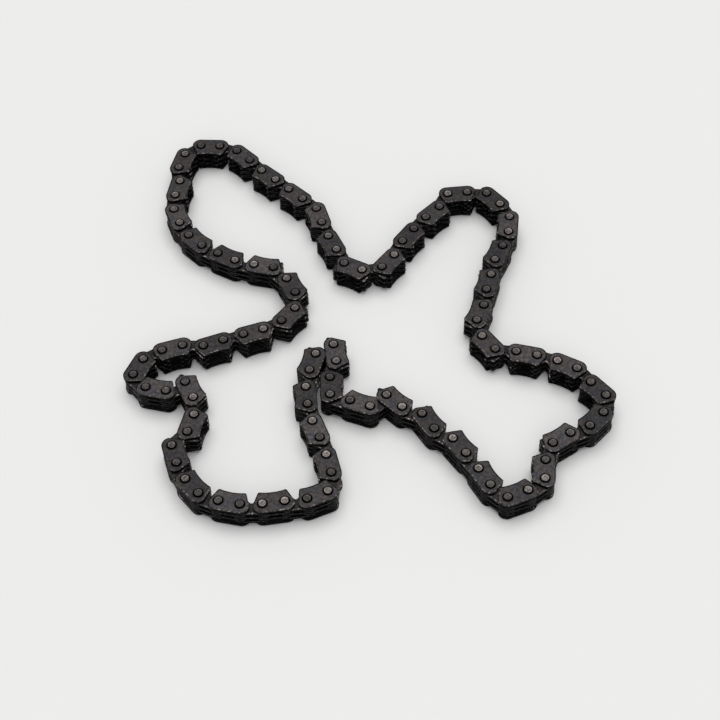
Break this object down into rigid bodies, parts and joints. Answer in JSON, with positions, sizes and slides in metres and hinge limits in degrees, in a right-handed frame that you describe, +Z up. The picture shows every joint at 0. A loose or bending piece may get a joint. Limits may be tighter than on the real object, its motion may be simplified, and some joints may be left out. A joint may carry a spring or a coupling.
{
  "type": "timing chain",
  "caption": "Endless silent timing chain of toothed plates on riveted pins, lying loose on its side in a star of five lobes.",
  "frame": {"origin": "under the middle of the chain's plan, on the surface it lies on", "axes": "+Z up along the pins, +X right and +Y away from the camera of the picture"},
  "size_m": [0.1462, 0.1502, 0.0077],
  "materials": {
    "run_steel": "black phosphate, lightly oiled",
    "guide_plate_steel": "black phosphate, lightly oiled",
    "toothed_plate_steel": "black phosphate, lightly oiled",
    "pin_steel": "dark bare steel, worn on the heads"
  },
  "bodies": {
    "nw_link_b": {"nw_link_b_guide_plate_bottom": "guide_plate_steel", "nw_link_b_guide_plate_top": "guide_plate_steel", "nw_link_b_mid_plate_lower": "toothed_plate_steel", "nw_link_b_mid_plate_upper": "toothed_plate_steel", "nw_link_b_pin_first": "pin_steel", "nw_link_b_pin_second": "pin_steel"},
    "nw_run": {"nw_run": "run_steel"},
    "nw_link_a": {"nw_link_a_inner_plate_bottom": "toothed_plate_steel", "nw_link_a_inner_plate_middle": "toothed_plate_steel", "nw_link_a_inner_plate_top": "toothed_plate_steel"},
    "north_run": {"north_run": "run_steel"},
    "ne_link_a": {"ne_link_a_inner_plate_bottom": "toothed_plate_steel", "ne_link_a_inner_plate_middle": "toothed_plate_steel", "ne_link_a_inner_plate_top": "toothed_plate_steel"},
    "ne_run": {"ne_run": "run_steel"},
    "ne_link_b": {"ne_link_b_guide_plate_bottom": "guide_plate_steel", "ne_link_b_guide_plate_top": "guide_plate_steel", "ne_link_b_mid_plate_lower": "toothed_plate_steel", "ne_link_b_mid_plate_upper": "toothed_plate_steel", "ne_link_b_pin_first": "pin_steel", "ne_link_b_pin_second": "pin_steel"},
    "east_run": {"east_run": "run_steel"},
    "se_link_a": {"se_link_a_inner_plate_bottom": "toothed_plate_steel", "se_link_a_inner_plate_middle": "toothed_plate_steel", "se_link_a_inner_plate_top": "toothed_plate_steel"},
    "se_run": {"se_run": "run_steel"},
    "se_link_b": {"se_link_b_guide_plate_bottom": "guide_plate_steel", "se_link_b_guide_plate_top": "guide_plate_steel", "se_link_b_mid_plate_lower": "toothed_plate_steel", "se_link_b_mid_plate_upper": "toothed_plate_steel", "se_link_b_pin_first": "pin_steel", "se_link_b_pin_second": "pin_steel"},
    "fold_run": {"fold_run": "run_steel"},
    "south_link_a": {"south_link_a_guide_plate_bottom": "guide_plate_steel", "south_link_a_guide_plate_top": "guide_plate_steel", "south_link_a_mid_plate_lower": "toothed_plate_steel", "south_link_a_mid_plate_upper": "toothed_plate_steel", "south_link_a_pin_first": "pin_steel", "south_link_a_pin_second": "pin_steel"},
    "south_run": {"south_run": "run_steel"},
    "south_link_b": {"south_link_b_inner_plate_bottom": "toothed_plate_steel", "south_link_b_inner_plate_middle": "toothed_plate_steel", "south_link_b_inner_plate_top": "toothed_plate_steel"},
    "west_link_c": {"west_link_c_guide_plate_bottom": "guide_plate_steel", "west_link_c_guide_plate_top": "guide_plate_steel", "west_link_c_mid_plate_lower": "toothed_plate_steel", "west_link_c_mid_plate_upper": "toothed_plate_steel", "west_link_c_pin_first": "pin_steel", "west_link_c_pin_second": "pin_steel"},
    "west_link_a": {"west_link_a_inner_plate_bottom": "toothed_plate_steel", "west_link_a_inner_plate_middle": "toothed_plate_steel", "west_link_a_inner_plate_top": "toothed_plate_steel"},
    "west_run": {"west_run": "run_steel"},
    "west_link_b": {"west_link_b_inner_plate_bottom": "toothed_plate_steel", "west_link_b_inner_plate_middle": "toothed_plate_steel", "west_link_b_inner_plate_top": "toothed_plate_steel"},
    "waist_run": {"waist_run": "run_steel"}
  },
  "joints": [
    {"name": "south_link_a_hinge", "type": "hinge", "parent": "fold_run", "child": "south_link_a", "pos_m": [-0.0184, -0.03056, 0.00386], "axis": [0, 0, 1], "range_deg": [-40, 5]},
    {"name": "south_run_hinge", "type": "hinge", "parent": "south_link_a", "child": "south_run", "pos_m": [-0.01796, -0.0369, 0.00386], "axis": [0, 0, 1], "range_deg": [-5, 40]},
    {"name": "south_link_b_hinge", "type": "hinge", "parent": "south_run", "child": "south_link_b", "pos_m": [-0.0514, -0.03906, 0.00386], "axis": [0, 0, 1], "range_deg": [-40, 5]},
    {"name": "west_link_c_hinge", "type": "hinge", "parent": "south_link_b", "child": "west_link_c", "pos_m": [-0.05184, -0.03272, 0.00386], "axis": [0, 0, 1], "range_deg": [-5, 40]},
    {"name": "west_link_a_hinge", "type": "hinge", "parent": "west_link_c", "child": "west_link_a", "pos_m": [-0.05442, -0.02692, 0.00386], "axis": [0, 0, 1], "range_deg": [-45, 7]},
    {"name": "west_run_hinge", "type": "hinge", "parent": "west_link_a", "child": "west_run", "pos_m": [-0.06003, -0.0299, 0.00386], "axis": [0, 0, 1], "range_deg": [-7, 45]},
    {"name": "west_link_b_hinge", "type": "hinge", "parent": "west_run", "child": "west_link_b", "pos_m": [-0.03113, -0.00789, 0.00386], "axis": [0, 0, 1], "range_deg": [-45, 7]},
    {"name": "waist_run_hinge", "type": "hinge", "parent": "west_link_b", "child": "waist_run", "pos_m": [-0.02552, -0.00491, 0.00386], "axis": [0, 0, 1], "range_deg": [-7, 45]},
    {"name": "nw_link_b_hinge", "type": "hinge", "parent": "waist_run", "child": "nw_link_b", "pos_m": [-0.0509, 0.02732, 0.00386], "axis": [0, 0, 1], "range_deg": [-45, 45]},
    {"name": "nw_run_hinge", "type": "hinge", "parent": "nw_link_b", "child": "nw_run", "pos_m": [-0.05523, 0.03196, 0.00386], "axis": [0, 0, 1], "range_deg": [-45, 45]},
    {"name": "se_link_b_hinge", "type": "hinge", "parent": "fold_run", "child": "se_link_b", "pos_m": [0.02396, -0.05131, 0.00386], "axis": [0, 0, 1], "range_deg": [-25, 39]},
    {"name": "se_run_hinge", "type": "hinge", "parent": "se_link_b", "child": "se_run", "pos_m": [0.02742, -0.05663, 0.00386], "axis": [0, 0, 1], "range_deg": [-39, 25]},
    {"name": "se_link_a_hinge", "type": "hinge", "parent": "se_run", "child": "se_link_a", "pos_m": [0.06612, -0.03315, 0.00386], "axis": [0, 0, 1], "range_deg": [-25, 39]},
    {"name": "east_run_hinge", "type": "hinge", "parent": "se_link_a", "child": "east_run", "pos_m": [0.06266, -0.02782, 0.00386], "axis": [0, 0, 1], "range_deg": [-39, 25]},
    {"name": "ne_link_b_hinge", "type": "hinge", "parent": "east_run", "child": "ne_link_b", "pos_m": [0.04185, 0.01636, 0.00386], "axis": [0, 0, 1], "range_deg": [-45, 40]},
    {"name": "ne_run_hinge", "type": "hinge", "parent": "ne_link_b", "child": "ne_run", "pos_m": [0.04473, 0.02202, 0.00386], "axis": [0, 0, 1], "range_deg": [-40, 45]},
    {"name": "ne_link_a_hinge", "type": "hinge", "parent": "ne_run", "child": "ne_link_a", "pos_m": [0.01309, 0.02571, 0.00386], "axis": [0, 0, 1], "range_deg": [-45, 40]},
    {"name": "north_run_hinge", "type": "hinge", "parent": "ne_link_a", "child": "north_run", "pos_m": [0.01021, 0.02005, 0.00386], "axis": [0, 0, 1], "range_deg": [-40, 45]},
    {"name": "nw_link_a_hinge", "type": "hinge", "parent": "north_run", "child": "nw_link_a", "pos_m": [-0.02302, 0.05037, 0.00386], "axis": [0, 0, 1], "range_deg": [-45, 45]}
  ],
  "couplings": [
    {"joint": "south_run_hinge", "follows": "south_link_a_hinge", "ratio": -1},
    {"joint": "south_link_b_hinge", "follows": "south_link_a_hinge", "ratio": 1},
    {"joint": "west_link_c_hinge", "follows": "south_link_a_hinge", "ratio": -1},
    {"joint": "west_link_a_hinge", "follows": "west_run_hinge", "ratio": -1},
    {"joint": "west_link_b_hinge", "follows": "west_run_hinge", "ratio": -1},
    {"joint": "waist_run_hinge", "follows": "west_run_hinge", "ratio": 1},
    {"joint": "nw_run_hinge", "follows": "nw_link_b_hinge", "ratio": -1},
    {"joint": "nw_link_a_hinge", "follows": "nw_link_b_hinge", "ratio": 1},
    {"joint": "se_run_hinge", "follows": "se_link_b_hinge", "ratio": -1},
    {"joint": "se_link_a_hinge", "follows": "se_link_b_hinge", "ratio": 1},
    {"joint": "east_run_hinge", "follows": "se_link_b_hinge", "ratio": -1},
    {"joint": "ne_run_hinge", "follows": "ne_link_b_hinge", "ratio": -1},
    {"joint": "ne_link_a_hinge", "follows": "ne_link_b_hinge", "ratio": 1},
    {"joint": "north_run_hinge", "follows": "ne_link_b_hinge", "ratio": -1}
  ]
}
